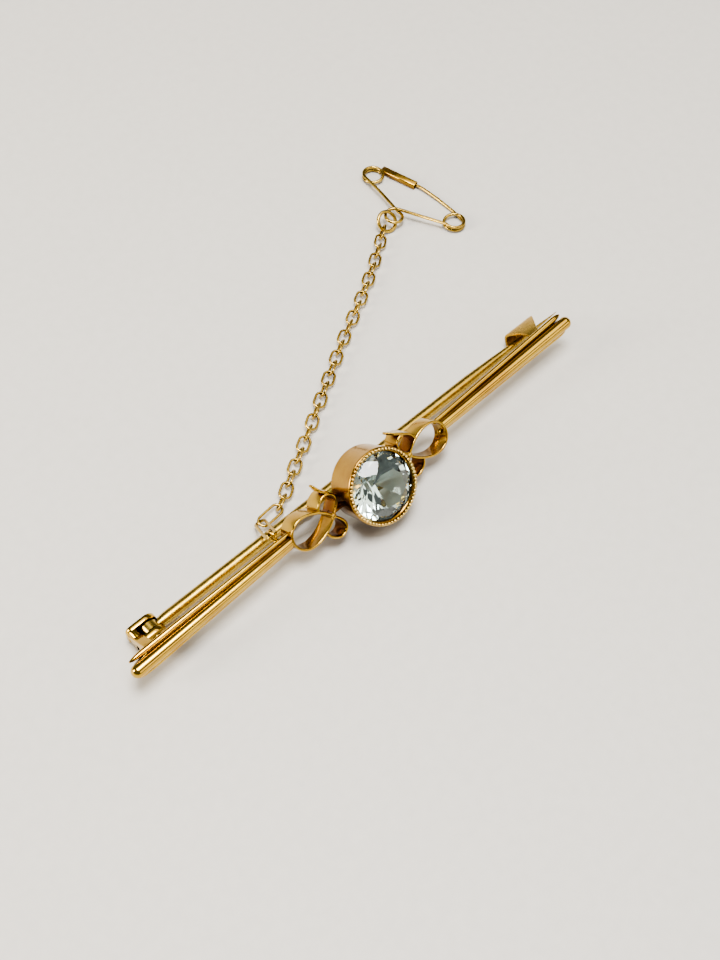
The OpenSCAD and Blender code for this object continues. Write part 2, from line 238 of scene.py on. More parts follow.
def unit(v):
    """v divided by its length."""
    return v / np.linalg.norm(v, axis=-1, keepdims=True)


def around(count):
    """Angles in equal steps round a full turn, the last one a step short of the first."""
    return np.linspace(0, 2 * math.pi, count, endpoint=False)


def turned(p, angle, axis):
    """p turned about x, y or z (0, 1 or 2): the two other coordinates mix by the angle's cosine and sine."""
    i, j = (axis + 1) % 3, (axis + 2) % 3
    q = np.array(p, float)
    q[..., i] = math.cos(angle) * p[..., i] - math.sin(angle) * p[..., j]
    q[..., j] = math.sin(angle) * p[..., i] + math.cos(angle) * p[..., j]
    return q


def smooth(points, steps):
    """A smooth line through points: between two of them a cubic whose slope at each is half the step from the
    point before to the point after."""
    p = np.array(points, float)
    p = np.vstack([2 * p[0] - p[1], p, 2 * p[-1] - p[-2]])
    t = np.arange(steps)[None, :, None] / steps
    a, b, c, d = (p[i:len(p) - 3 + i, None] for i in range(4))
    bend, twist = 2 * a - 5 * b + 4 * c - d, 3 * b - 3 * c + d - a
    line = 0.5 * (2 * b + (c - a) * t + bend * t ** 2 + twist * t ** 3)
    return np.vstack([line.reshape(-1, p.shape[1]), p[-2]])


def ahead(line, loop=False):
    """Unit direction at each point, from the point before it to the point after it. A loop's ends are
    neighbours."""
    if loop:
        return unit(np.roll(line, -1, 0) - np.roll(line, 1, 0))
    return unit(np.vstack([line[1:], line[-1:]]) - np.vstack([line[:1], line[:-1]]))


def along_x(x, z=0):
    """Points of a straight line along x at height z."""
    return np.stack([x, 0 * x, 0 * x + z], -1)


def circle(r, count, z=0):
    """Points round the z axis at height z: the radius times cosine and sine."""
    a = around(count)
    return np.stack([r * np.cos(a), r * np.sin(a), 0 * a + z], -1)


def arc(centre, r, a0, a1, z0, z1, n):
    """Points round a centre, from angle a0 to a1 in degrees, rising evenly from z0 to z1."""
    t = np.linspace(0, 1, n + 1)
    a = np.radians(a0 + (a1 - a0) * t)
    return np.stack([centre[0] + r * np.cos(a), centre[1] + r * np.sin(a), z0 + (z1 - z0) * t], -1)


def held(values, count):
    """Values with the first and the last one repeated count more times."""
    return np.concatenate([np.repeat(values[:1], count, 0), values, np.repeat(values[-1:], count, 0)])


def rest_height(tilt):
    """Height of the bar's middle with the collet's back edge on the table: the edge's radius times the tilt's
    sine, less the edge's height times its cosine."""
    return COLLET_BASE * math.sin(tilt) - COLLET_BACK * math.cos(tilt)


def at_rest(p, tilt):
    """Points of the brooch drawn face up, placed as it rests: turned about its length, raised until the
    collet's back edge is on the table, and moved to the middle of the outline."""
    return turned(p, tilt, 0) - MIDDLE + [0, 0, rest_height(tilt)]


def hinge_place(size, tilt):
    """Middle of the hinge's rivet: behind the bar by the pin's depth times the tilt's sine, and below it by
    the depth times the cosine."""
    back, down = size.pin_depth * math.sin(tilt), size.pin_depth * math.cos(tilt)
    return np.array([-size.hinge, back, rest_height(tilt) - down]) - MIDDLE


# Surfaces


def wire_rings(line, radius, sides, up, loop=False):
    """Rings of a round wire: each is a line's point plus its radius times cosine along the side vector and
    sine along the vector square to it. up is a vector, or one for each point, that the line never follows."""
    d = ahead(line, loop)
    side = unit(np.cross(d, np.broadcast_to(up, d.shape)))
    over = np.cross(side, d)
    a = around(sides)[None, :, None]
    r = np.broadcast_to(radius, len(line))[:, None, None]
    return line[:, None] + r * (np.cos(a) * side[:, None] + np.sin(a) * over[:, None])


def rounded(line, radius):
    """A line and its radii with both ends drawn out into half balls: points go on by the radius times sine
    while the radius shrinks with cosine."""
    b = np.radians([15, 35, 55, 72, 84])
    d = ahead(line)
    r = np.broadcast_to(radius, len(line)).astype(float)
    start = line[0] - d[0] * r[0] * np.sin(b[::-1, None])
    end = line[-1] + d[-1] * r[-1] * np.sin(b[:, None])
    return np.vstack([start, line, end]), np.concatenate([r[0] * np.cos(b[::-1]), r, r[-1] * np.cos(b)])


def lathe(profile, sides):
    """Rings of a turned shape: pairs of radius and height swept round the z axis."""
    p = np.array(profile, float)[:, None]
    a = around(sides)[None]
    return np.stack([p[..., 0] * np.cos(a), p[..., 0] * np.sin(a), p[..., 1] + 0 * a], -1)


def oblong(across, up, radius):
    """Both coordinates round an oblong with round corners, a row for each section: the corner's centre,
    across and up from the middle, plus the radius times cosine and sine over a quarter turn."""
    a = np.radians(np.arange(4)[:, None] * 90 + np.linspace(0, 90, CORNER_POINTS)[None]).ravel()
    right, above = np.repeat([[1, -1, -1, 1], [1, 1, -1, -1]], CORNER_POINTS, 1)
    across, up, radius = (value[:, None] for value in (across, up, radius))
    return right * across + radius * np.cos(a), above * up + radius * np.sin(a)


def flat_bar(line, over, half_w, half_t, edge):
    """Rings of a bar with a rounded oblong section, half_w to each side and half_t along over, with corners
    of radius edge. Each end goes on by edge times sine while the section shrinks by edge times one less
    cosine, so it is rounded too."""
    d = ahead(line)
    over = np.broadcast_to(over, d.shape)
    over = unit(over - (over * d).sum(-1, keepdims=True) * d)
    w, t = (np.broadcast_to(value, len(line)).astype(float) for value in (half_w, half_t))
    go, shrink = edge * np.sin(END_TURNS), edge * (1 - np.cos(END_TURNS))
    inset = np.concatenate([shrink[::-1], np.zeros(len(line)), shrink])
    line = np.vstack([line[0] - d[0] * go[::-1, None], line, line[-1] + d[-1] * go[:, None]])
    d, over, w, t = (held(value, len(END_TURNS)) for value in (d, over, w, t))
    side = np.cross(d, over)
    x, y = oblong(w - edge, t - edge, edge - inset)
    return line[:, None] + x[..., None] * side[:, None] + y[..., None] * over[:, None]


def balls(centres, radii, rings, sides):
    """Balls at the centres, each squashed to its three radii: cosine and sine of height and of turn."""
    v = np.radians(np.linspace(-78, 78, rings))[:, None]
    a = around(sides)[None]
    shape = np.stack([np.cos(v) * np.cos(a), np.cos(v) * np.sin(a), np.sin(v) + 0 * a], -1)
    return np.asarray(centres)[:, None, None] + shape[None] * np.asarray(radii)


def link_rings(a, b, up, width, wire, points=44, sides=14):
    """Rings of oval wire links from a to b, one for each row: half circles joined by straight sides, in the
    plane whose normal is up made square to the link's length."""
    ex = unit(b - a)
    ez = unit(up - (up * ex).sum(-1, keepdims=True) * ex)
    ey = np.cross(ez, ex)
    r, half = (width - wire) / 2, (np.linalg.norm(b - a, axis=-1) + wire - width) / 2
    t = around(points)
    flat_x = r * np.cos(t)[None] + np.sign(np.cos(t))[None] * half[:, None] * (abs(np.cos(t)) > 0.01)
    flat_y = r * np.sin(t)[None] + 0 * flat_x
    middle = (a + b) / 2
    line = middle[:, None] + flat_x[..., None] * ex[:, None] + flat_y[..., None] * ey[:, None]
    # outward direction in the link's plane, the same on a straight side as at its end
    side = np.cos(t)[None, :, None] * ex[:, None] + np.sin(t)[None, :, None] * ey[:, None]
    s = around(sides)[None, None, :, None]
    return line[:, :, None] + wire / 2 * (np.cos(s) * side[:, :, None] + np.sin(s) * ez[:, None, None])


def skin(rings, loop=False):
    """Faces between neighbouring rings of one shell or of many like ones. Open ends close on the middle of
    their ring, and a shell whose enclosed volume comes out negative has its faces turned round."""
    rings = np.asarray(rings, float)
    rings = rings.reshape((-1,) + rings.shape[-3:])
    count, n, m, _ = rings.shape
    i, j = (g.ravel() for g in np.meshgrid(np.arange(n if loop else n - 1), np.arange(m), indexing="ij"))
    below, beside = (i + 1) % n, (j + 1) % m
    quads = np.stack([i * m + j, i * m + beside, below * m + beside, below * m + j], -1)
    points = rings.reshape(count, n * m, 3)
    fans = np.zeros((0, 3), int)
    if not loop:
        points = np.concatenate([points, rings[:, :1].mean(2), rings[:, -1:].mean(2)], 1)
        s, last = np.arange(m), (n - 1) * m
        fans = np.concatenate([np.stack([(s + 1) % m, s, 0 * s + n * m], -1),
                               np.stack([last + s, last + (s + 1) % m, 0 * s + n * m + 1], -1)])
    tris = np.concatenate([quads[:, :3], quads[:, [0, 2, 3]], fans])
    a, b, c = (points[:, tris[:, x]] for x in range(3))
    inside_out = (a * np.cross(b, c)).sum((1, 2)) < 0
    shift = (np.arange(count) * points.shape[1])[:, None, None]
    inside_out = inside_out[:, None, None]
    quads, fans = (np.where(inside_out, f[None, :, ::-1], f[None]) + shift for f in (quads, fans))
    return points.reshape(-1, 3), quads.reshape(-1, 4), fans.reshape(-1, 3)


def add_object(name, points, faces, material):
    """An object at the origin, made of points in millimetres and faces that list their corners."""
    mesh = bpy.data.meshes.new(name)
    mesh.from_pydata((points / 1000).tolist(), [], faces)
    mesh.materials.append(material)
    made = bpy.data.objects.new(name, mesh)
    bpy.context.scene.collection.objects.link(made)
    return made


def add_piece(name, shells, material, replaced, body="brooch", sharp=38):
    """One piece from its shells, smooth except where it turns by more than the sharp angle in degrees, with
    its finish, its body and the solid it stands for."""
    points, quads, tris, first = [], [], [], 0
    for p, q, t in shells:
        points.append(p)
        quads.append(q + first)
        tris.append(t + first)
        first += len(p)
    faces = np.vstack(quads).tolist() + np.vstack(tris).tolist()
    piece = add_object(name, np.vstack(points), faces, material)
    piece.data.shade_smooth()
    piece.data.set_sharp_from_angle(angle=math.radians(sharp))
    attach(piece, body)
    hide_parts(replaced)


# Finishes


def put(tree, kind, values=(), links=(), **settings):
    """Adds one node: its settings by name, its socket values and the outputs that feed its sockets."""
    node = tree.nodes.new(kind)
    for key, value in settings.items():
        setattr(node, key, value)
    for key, value in dict(values).items():
        node.inputs[key].default_value = value
    for key, source in dict(links).items():
        tree.links.new(source, node.inputs[key])
    return node


def blank(name):
    """A new material with an empty node tree."""
    material = bpy.data.materials.new(name)
    material.use_nodes = True
    material.node_tree.nodes.clear()
    return material, material.node_tree


def gold_finish(name, main, warm, shade_film, rough, lines=(1, 1, 1), line_depth=0.05, wave_depth=0.08,
                reach=0.0005):
    """Nine carat gold. Large soft patches shift it towards red, painted shade with a brown film of old polish
    darkens it where other metal is near, fine lines from drawing or polishing roughen it, and slow waves
    from hand filing bend its highlights."""
    found = bpy.data.materials.get(name)
    if found:
        return found
    material, tree = blank(name)
    place = put(tree, "ShaderNodeTexCoord").outputs["Object"]
    # patches of about 3 mm
    patches = put(tree, "ShaderNodeTexNoise", {"Scale": 330, "Detail": 3, "Roughness": 0.6},
                  {"Vector": place})
    patch = put(tree, "ShaderNodeMapRange", {"From Min": 0.38, "From Max": 0.66},
                {"Value": patches.outputs["Fac"]})
    tone = put(tree, "ShaderNodeMix", {FIRST: main, SECOND: warm}, {FACTOR: patch.outputs[0]},
               data_type="RGBA")
    # painted shade and a film of old polish where other metal is nearer than the reach, half a millimetre as
    # a rule
    groove = put(tree, "ShaderNodeAmbientOcclusion", {"Distance": reach}, samples=12)
    unshaded = put(tree, "ShaderNodeMapRange", {"From Min": 0.3, "From Max": 0.85},
               {"Value": groove.outputs["AO"]})
    shaded = put(tree, "ShaderNodeMix", {FIRST: shade_film}, {FACTOR: unshaded.outputs[0], SECOND: tone.outputs[MIXED]},
                 data_type="RGBA")
    # drawn or polished lines, 0.05 mm apart
    stretch = put(tree, "ShaderNodeMapping", {"Scale": lines}, {"Vector": place})
    drawn = put(tree, "ShaderNodeTexNoise", {"Scale": 16000, "Detail": 2}, {"Vector": stretch.outputs[0]})
    # wear of about 0.7 mm makes it now duller, now brighter
    worn = put(tree, "ShaderNodeTexNoise", {"Scale": 1400, "Detail": 4, "Roughness": 0.65}, {"Vector": place})
    shine = put(tree, "ShaderNodeMapRange",
                {"From Min": 0.3, "From Max": 0.7, "To Min": rough * 0.7, "To Max": rough * 1.5},
                {"Value": worn.outputs["Fac"]})
    # filed waves of about 2 mm
    slow = put(tree, "ShaderNodeTexNoise", {"Scale": 550, "Detail": 1}, {"Vector": stretch.outputs[0]})
    wave = put(tree, "ShaderNodeBump", {"Strength": wave_depth, "Distance": 0.00006},
               {"Height": slow.outputs["Fac"]})
    fine = put(tree, "ShaderNodeBump", {"Strength": line_depth, "Distance": 0.000004},
               {"Height": drawn.outputs["Fac"], "Normal": wave.outputs[0]})
    surface = put(tree, "ShaderNodeBsdfPrincipled", {"Metallic": 1.0},
                  {"Base Color": shaded.outputs[MIXED], "Roughness": shine.outputs[0],
                   "Normal": fine.outputs[0]})
    put(tree, "ShaderNodeOutputMaterial", links={"Surface": surface.outputs[0]})
    return material


def polished_gold(context):
    """Polished nine carat gold: bright, with soft wavering highlights, and grooves darkened brown by old
    polish and painted shade.
    """
    finish = context.scene.brooch_finish
    return gold_finish("polished_nine_carat_gold", finish.gold, finish.gold_warm, finish.groove_dirt_and_shade, 0.13,
                       (0.04, 1, 1))


def bow_gold(context):
    """Polished gold of the bows: bright edges, and reddish-brown painted shade inside the loops."""
    finish = context.scene.brooch_finish
    return gold_finish("polished_gold_of_the_bows", finish.gold, finish.gold_warm, linear("#6E3F17"), 0.14,
                       reach=0.0034)


def collet_gold(context):
    """Polished gold of the collet, darker and redder to stand in for the shade on its wall, with brown
    painted shade inside it and low on its wall.
    """
    finish = context.scene.brooch_finish
    return gold_finish("polished_gold_of_the_collet", finish.gold_warm, linear("#A67D3A"), linear("#64421C"),
                       0.16, reach=0.0035)


def brushed_sheet(context):
    """Brushed gold sheet of the catch and the sleeve: fine lines along the bar, brown painted shade in its
    bends.
    """
    finish = context.scene.brooch_finish
    return gold_finish("brushed_gold_sheet", finish.gold, finish.gold_warm, linear("#5E3A14"), 0.26,
                       (0.05, 1, 1), 0.16, reach=0.0045)


def milled_gold(context):
    """Milled gold of the rim: beads in a paler gold, with painted shade between them."""
    finish = context.scene.brooch_finish
    return gold_finish("milled_rim_gold", linear("#E8CA7C"), linear("#DDB66B"), finish.groove_dirt_and_shade, 0.2)


def drawn_wire(context):
    """Drawn gold wire: satin, with fine lines along its length, a little greener than the bar."""
    finish = context.scene.brooch_finish
    return gold_finish("drawn_gold_wire", finish.wire, linear("#AE9044"), finish.groove_dirt_and_shade, 0.24, (0.03, 1, 1),
                       0.1, 0.04)


def rolled_link(context):
    """Gold link wire, worn by rubbing in all directions."""
    finish = context.scene.brooch_finish
    return gold_finish("worn_gold_link_wire", finish.wire, linear("#B1934A"), finish.groove_dirt_and_shade, 0.22)


def cut_stone_glass(context):
    """Pale blue cut stone: clear and sharply bright, with a faint drift of colour and rubbed facet edges."""
    material, tree = blank("pale_blue_cut_stone")
    place = put(tree, "ShaderNodeTexCoord").outputs["Object"]
    # colour drifts over about 3 mm
    zones = put(tree, "ShaderNodeTexNoise", {"Scale": 300, "Detail": 1}, {"Vector": place})
    tint = put(tree, "ShaderNodeMix", {FIRST: context.scene.brooch_finish.stone, SECOND: linear("#CBE5E3")},
               {FACTOR: zones.outputs["Fac"]}, data_type="RGBA")
    # rubbed spots of about 0.2 mm
    rubs = put(tree, "ShaderNodeTexNoise", {"Scale": 5000, "Detail": 3}, {"Vector": place})
    rough = put(tree, "ShaderNodeMapRange", {"From Min": 0.6, "From Max": 0.8, "To Min": 0.0, "To Max": 0.05},
                {"Value": rubs.outputs["Fac"]})
    surface = put(tree, "ShaderNodeBsdfPrincipled", {"IOR": 1.6, "Transmission Weight": 1.0},
                  {"Base Color": tint.outputs[MIXED], "Roughness": rough.outputs[0]})
    put(tree, "ShaderNodeOutputMaterial", links={"Surface": surface.outputs[0]})
    return material


def table_top(context):
    """Matt painted board: pale, with a barely visible grain of about 1 mm."""
    material, tree = blank("matt_pale_board")
    place = put(tree, "ShaderNodeTexCoord").outputs["Object"]
    grain = put(tree, "ShaderNodeTexNoise", {"Scale": 900, "Detail": 4}, {"Vector": place})
    tone = put(tree, "ShaderNodeMix", {FIRST: context.scene.brooch_finish.floor, SECOND: linear("#CECBC5")},
               {FACTOR: grain.outputs["Fac"]}, data_type="RGBA")
    surface = put(tree, "ShaderNodeBsdfPrincipled", {"Roughness": 0.55}, {"Base Color": tone.outputs[MIXED]})
    put(tree, "ShaderNodeOutputMaterial", links={"Surface": surface.outputs[0]})
    return material


# Pieces


def middle_reed(size, long):
    """Rings of an arm's middle reed: its radius grows evenly, then falls with cosine over a rounded cap."""
    cap, slim = np.radians(np.linspace(0, 86, 14)), 0.7 * size.reed
    x = np.concatenate([[0, 0.06, 0.12], np.linspace(0.6, long - REED_CAP, 30)[:-1],
                        long - REED_CAP + REED_CAP * np.sin(cap)])
    r = np.concatenate([[slim - 0.17, slim - 0.05, slim], np.linspace(slim + 0.01, size.reed, 30)[:-1],
                        size.reed * np.cos(cap)])
    reed = lathe(np.stack([r, x], -1), 56)[..., [2, 0, 1]]
    return turned(reed, math.radians(REED_SLOPE), 1) + [0, 0, REED_Z]


def side_reed(size, long, taper, side):
    """Rings of a side reed: its radius grows evenly, and its outer end is drawn out into a rounded point by
    the root of one less a power of the way along the taper."""
    reach = long - 0.4
    x = np.concatenate([[0, 0.05], np.linspace(1, reach - taper, 12),
                        np.linspace(reach - taper + 0.1, reach - 0.06, 14)])
    point = np.clip((x - reach + taper) / taper, 0, 1)
    r = np.interp(x, [0, reach - taper], [0.22, size.side_reed]) * np.sqrt(1 - 0.97 * point ** 2.4)
    reed = wire_rings(*rounded(along_x(x), r), 28, [0, 0, 1])
    return turned(reed, side * math.atan(SIDE_SPREAD / reach), 2) + [-0.1, side * SIDE_GAP, 0]


def back_strip(long):
    """Rings of the thin strip behind an arm's reeds, widest 3 mm short of its end."""
    x = np.linspace(0.1, long - 0.8, 24)
    half = np.interp(x, [0, long - 3, long - 0.7], [0.54, 0.8, 0.42])
    return flat_bar(along_x(x, 0.01), [0, 0, 1], half, 0.19, 0.08)


class BROOCH_OT_arms(bpy.types.Operator):
    """Two arms, each a raised middle reed and two side reeds on a thin strip, with pointed ends"""

    bl_idname = "brooch.arms"
    bl_label = "Reeded arms"

    def execute(self, context):
        size, shape = millimetres(context), context.scene.brooch_shape
        # each arm starts just inside its bow
        start = BOW_AT[0] + size.loop - 0.1
        long = size.bar_length / 2 - start
        shells = []
        for way, taper in ARMS:
            sides = [side_reed(size, long, taper, side) for side in (-1, 1)]
            rods = [middle_reed(size, long), *sides, back_strip(long)]
            for rod in rods:
                placed = (turned(rod, way * shape.lean, 2) + [start, -way * ARM_STEP, 0]) * [way, 1, 1]
                shells.append(skin(at_rest(placed, shape.tilt)))
        add_piece("reeded_arms", shells, polished_gold(context), "brooch_frame")
        return {"FINISHED"}


def ribbon_end(points, size):
    """Rings of a bow's ribbon end: a strip lower than the loops, flush with their front and cut narrow."""
    flat = smooth(points, 10)
    line = np.column_stack([flat, 0 * flat[:, 0] + (size.strip_height - END_HEIGHT) / 2])
    count, half = len(flat), END_HEIGHT / 2
    narrow = np.interp(np.arange(count), [0, count - 8, count - 1], [half, half, 0.3])
    return flat_bar(line, [0, 0, 1], size.strip / 2, narrow, 0.08)


def bow_loops(size):
    """Rings of a bow's three loops. The large one's length is half of one less cosine, and its width sine
    times a power of the half angle's sine; the small ones mirror each other."""
    t = np.radians(np.linspace(3, 357, 140))
    large = np.stack([size.loop * (1 - np.cos(t)) / 2, LOOP_WIDE * np.sin(t) * np.sin(t / 2) ** 0.7], -1)
    small = smooth(SMALL_LOOP, 12)
    lines = [np.column_stack([flat, 0 * flat[:, 0]]) for flat in (large, small, small * [1, -1])]
    return [flat_bar(line, [0, 0, 1], size.strip / 2, size.strip_height / 2, 0.1) for line in lines]


class BROOCH_OT_bows(bpy.types.Operator):
    """Two bows of gold strip set on edge, each a large loop and two small ones, with their posts"""

    bl_idname = "brooch.bows"
    bl_label = "Bows"

    def execute(self, context):
        size, shape = millimetres(context), context.scene.brooch_shape
        h = size.strip_height / 2
        # tie: a small turned drum where the loops meet, its radius and height from back to front
        drum = [[0.1, -h - 0.02], [0.22, -h], [0.3, 0.1 - h], [0.3, h - 0.1], [0.22, h], [0.1, h + 0.02]]
        tie = lathe(drum, 28)
        post = np.array([[COLLET_BASE - 0.35, BOW_AT[1], POST_Z], [BOW_AT[0], BOW_AT[1], POST_Z]])
        post = wire_rings(*rounded(post, POST_R), 28, [0, 0, 1])
        shells = []
        for way, lean, shift, end in BOWS:
            placed = [turned(rod, math.radians(lean), 2) + BOW_AT + [shift, 0, BOW_FRONT - h]
                      for rod in (ribbon_end(end, size), *bow_loops(size), tie)]
            for rod in (*placed, post):
                shells.append(skin(at_rest(rod * [way, 1, 1], shape.tilt)))
        add_piece("bows_and_posts", shells, bow_gold(context), "brooch_frame")
        return {"FINISHED"}


class BROOCH_OT_collet(bpy.types.Operator):
    """Round collet that holds the stone, with its milled rim"""

    bl_idname = "brooch.collet"
    bl_label = "Collet"

    def execute(self, context):
        size, tilt = millimetres(context), context.scene.brooch_shape.tilt
        r, top = size.collet, size.rim
        # pairs of radius and height: up the outside and over the rim, then down inside past the stone's seat
        outer = smooth([[COLLET_BASE - 0.12, COLLET_BACK], [COLLET_BASE, COLLET_BACK + 0.1],
                        [COLLET_BASE + 0.02, 0], [r - 0.08, 1.6], [r, top - 0.4], [r - 0.01, top - 0.26],
                        [r - 0.06, top - 0.19], [r - 0.2, top - 0.16], [r - 0.36, top - 0.18],
                        [r - 0.45, top - 0.26]], 5)
        inner = smooth([[r - 0.44, top - 0.3], [r - 0.35, top - 0.4], [r - 0.35, top - 0.5],
                        [COLLET_HOLE + 0.02, top - 0.88], [COLLET_HOLE, 1.6],
                        [COLLET_HOLE, COLLET_BACK + 0.1], [COLLET_HOLE + 0.07, COLLET_BACK]], 4)
        wall = skin(at_rest(lathe(np.vstack([outer, inner]), 160), tilt), loop=True)
        add_piece("stone_collet", [wall], collet_gold(context), "brooch_frame")
        places = circle(r - 0.18, context.scene.brooch_shape.beads, top - 0.04)
        beads = balls(places, [BEAD_R, BEAD_R, BEAD_R], 9, 14)
        add_piece("milled_rim", [skin(at_rest(beads, tilt))], milled_gold(context), "brooch_frame")
        return {"FINISHED"}


class BROOCH_OT_stone(bpy.types.Operator):
    """Round brilliant with table, star, kite and girdle facets, and a cut back"""

    bl_idname = "brooch.stone"
    bl_label = "Cut stone"

    def execute(self, context):
        size, shape = millimetres(context), context.scene.brooch_shape
        r, t = size.stone, size.stone * shape.table_part
        girdle, bottom = size.rim - 0.35, size.rim - 0.35 - 0.12
        crown, deep = size.stone * (1 - shape.table_part) * 0.74, size.stone * 0.9
        mid, low = (r + t) / 2 * 1.02, 0.3 * r
        # a corner half way between two others lies nearer the middle by this much
        half = math.cos(math.radians(22.5))
        # rings of facet corners: radius, count, first angle and height, each height on the plane that falls
        # evenly from the table's edge, or rises from the point, to the girdle
        corners = [(t, 8, 0, girdle + crown), (mid, 8, 22.5, girdle + crown * (r - mid * half) / (r - t)),
                   (r, 16, 0, girdle), (r, 16, 0, bottom),
                   (low, 8, 22.5, bottom - deep * (r - low * half) / r)]
        points = []
        for radius, count, first, z in corners:
            a = np.radians(first + np.arange(count) * 360 / count)
            points.append(np.stack([radius * np.cos(a), radius * np.sin(a), 0 * a + z], -1))
        points = np.vstack(points + [np.array([[0, 0, bottom - deep]])])
        # number of each ring's first corner; the table's is 0
        kite, upper, lower, back, point = 8, 16, 32, 48, 56
        i, k = np.arange(8), np.arange(16)
        before, even, odd, after, beside = (i + 7) % 8, 2 * i, 2 * i + 1, (2 * i + 2) % 16, (k + 1) % 16
        facets = [(i, kite + i, (i + 1) % 8), (kite + i, upper + even, upper + odd),
                  (kite + i, upper + odd, upper + after), (back + i, lower + odd, lower + even),
                  (back + i, lower + after, lower + odd), (i, kite + before, upper + even, kite + i),
                  (point + 0 * i, back + i, lower + even, back + before),
                  (upper + k, lower + k, lower + beside, upper + beside)]
        faces = [i.tolist()] + [corner for facet in facets for corner in np.stack(facet, -1).tolist()]
        placed = at_rest(turned(points, math.radians(12), 2), shape.tilt)
        stone = add_object("cut_stone", placed, faces, cut_stone_glass(context))
        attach(stone, "brooch")
        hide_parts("stone")
        return {"FINISHED"}


class BROOCH_OT_catch(bpy.types.Operator):
    """Flared sheet catch behind the right arm, bent over into an open hook"""

    bl_idname = "brooch.catch"
    bl_label = "Catch"

    def execute(self, context):
        flat = smooth(CATCH_LINE, 8)
        edges = np.array(CATCH_EDGES)[::-1]
        left, right = (np.interp(flat[:, 1], edges[:, 0], edges[:, side]) for side in (1, 2))
        # the sheet is bent in the plane square to the bar, so its width runs along the bar
        line = np.column_stack([0 * left, flat])
        over = np.cross(ahead(line), [1.0, 0, 0])
        rings = flat_bar(line, over, (right - left) / 2, CATCH_HALF, 0.06)
        middle = held(np.column_stack([(left + right) / 2, 0 * flat]), len(END_TURNS))
        shell = skin(at_rest(rings + middle[:, None], context.scene.brooch_shape.tilt))
        add_piece("pin_catch", [shell], brushed_sheet(context), "brooch_frame")
        return {"FINISHED"}


def cheek(side, high):
    """Rings of a hinge cheek: half a disc round the rivet carried on into a block with two round corners
    behind it, drawn in a little toward both faces."""
    a, b = np.radians(np.linspace(-90, 90, 25)), np.radians(np.linspace(90, 180, 8))
    r = CHEEK_CORNER
    back = np.stack([r * np.cos(b) - CHEEK_BACK, r * np.sin(b) + high - r], -1)
    outline = np.vstack([np.stack([high * np.cos(a), high * np.sin(a)], -1), back, back[::-1] * [1, -1]])
    y = np.array([CHEEK_IN, CHEEK_IN + 0.02, CHEEK_IN + 0.07, CHEEK_OUT - 0.07, CHEEK_OUT - 0.02, CHEEK_OUT])
    rings = outline[None] * np.array([0.94, 0.98, 1, 1, 0.98, 0.94])[:, None, None]
    return np.stack([rings[..., 0], 0 * rings[..., 0] + side * y[:, None], rings[..., 1]], -1)


class BROOCH_OT_hinge(bpy.types.Operator):
    """Hinge bracket with two cheeks and its post, the rivet, and the small eye that carries the chain"""

    bl_idname = "brooch.hinge"
    bl_label = "Hinge and chain eye"

    def execute(self, context):
        size, shape = millimetres(context), context.scene.brooch_shape
        at = hinge_place(size, shape.tilt)
        high = at[2]
        # post from the arm down to the cheeks, and the bar that joins the cheeks behind the pin's eye
        post = np.array([[-size.hinge - 1.45, 0, -size.pin_depth - 0.2], [-size.hinge - 1.45, 0, -0.15]])
        bar = np.array([[-1.42, -0.6, 0], [-1.42, 0.6, 0]])
        shells = [skin(at_rest(flat_bar(post, [0, 1, 0], 0.45, 0.7, 0.1), shape.tilt)),
                  skin(cheek(-1, high) + at), skin(cheek(1, high) + at),
                  skin(flat_bar(bar, [0, 0, 1], 0.42, high - 0.05, 0.41) + at)]
        add_piece("hinge_bracket", shells, polished_gold(context), "brooch_frame")
        # rivet: a shaft with a domed head proud of each cheek, its radius by cosine and its height by sine
        out = CHEEK_OUT + 0.02
        dome = np.radians(np.linspace(0, 80, 6))
        head = np.stack([0.3 + 0.25 * np.cos(dome), out + 0.02 + 0.16 * np.sin(dome)], -1)
        profile = np.vstack([head[::-1] * [1, -1], [[RIVET_R, -out]], [[RIVET_R, out]], head])
        rivet = lathe(profile, 32)[..., [0, 2, 1]] + at
        add_piece("hinge_rivet_domed", [skin(rivet)], drawn_wire(context), "hinge_rivet")
        # eye: a ring square to the bar, with a lump of solder under it
        eye = wire_rings(circle(EYE_R, 48)[:, [2, 0, 1]], EYE_WIRE, 16, [1, 0, 0], loop=True)
        eye = eye + CHAIN_EYE - MIDDLE
        solder = balls([CHAIN_EYE + [0, -0.6, -0.12] - MIDDLE], [0.32, 0.28, 0.28], 11, 20)
        add_piece("chain_eye", [skin(eye, loop=True), skin(solder)], polished_gold(context), "brooch_frame")
        return {"FINISHED"}


class BROOCH_OT_pin(bpy.types.Operator):
    """Pin: a flat eye at the hinge, a round stem and a long sharp tip"""

    bl_idname = "brooch.pin"
    bl_label = "Pin stem"

    def execute(self, context):
        size = millimetres(context)
        at = hinge_place(size, context.scene.brooch_shape.tilt)
        reach = size.tip + size.hinge
        # stem: even for most of its length, then drawn down in a long curve to the point
        x = np.concatenate([np.linspace(0.8, 1.8, 5), np.linspace(2.5, 38, 30),
                            np.linspace(38.5, reach - 0.03, 40)])
        r = np.interp(x, [0.8, 1.1, 1.8, 39.5, 43, 48.3, reach],
                      [0.44, 0.5, size.stem, size.stem, size.stem * 0.8, size.stem * 0.42, 0.025])
        stem = wire_rings(along_x(x), r, 32, [0, 0, 1]) + at
        # eye: an oblong section with cut corners, carried round the rivet
        inner, outer, half = PIN_EYE
        section = [[inner, -half + 0.05], [inner + 0.05, -half], [outer - 0.1, -half], [outer, -half + 0.1],
                   [outer, half - 0.1], [outer - 0.1, half], [inner + 0.05, half], [inner, half - 0.05]]
        ring = lathe(section, 56)[..., [0, 2, 1]] + at
        add_piece("pin_stem_and_eye", [skin(stem), skin(ring, loop=True)], drawn_wire(context), "pin_stem",
                  "pin")
        return {"FINISHED"}


def large_link(link, wire, points, sides):
    """Shell of one of the two larger links."""
    a, b, width, up = link
    ends = np.array([[a, b]]) - MIDDLE
    return skin(link_rings(ends[:, 0], ends[:, 1], np.array([up]), width, wire, points, sides), loop=True)


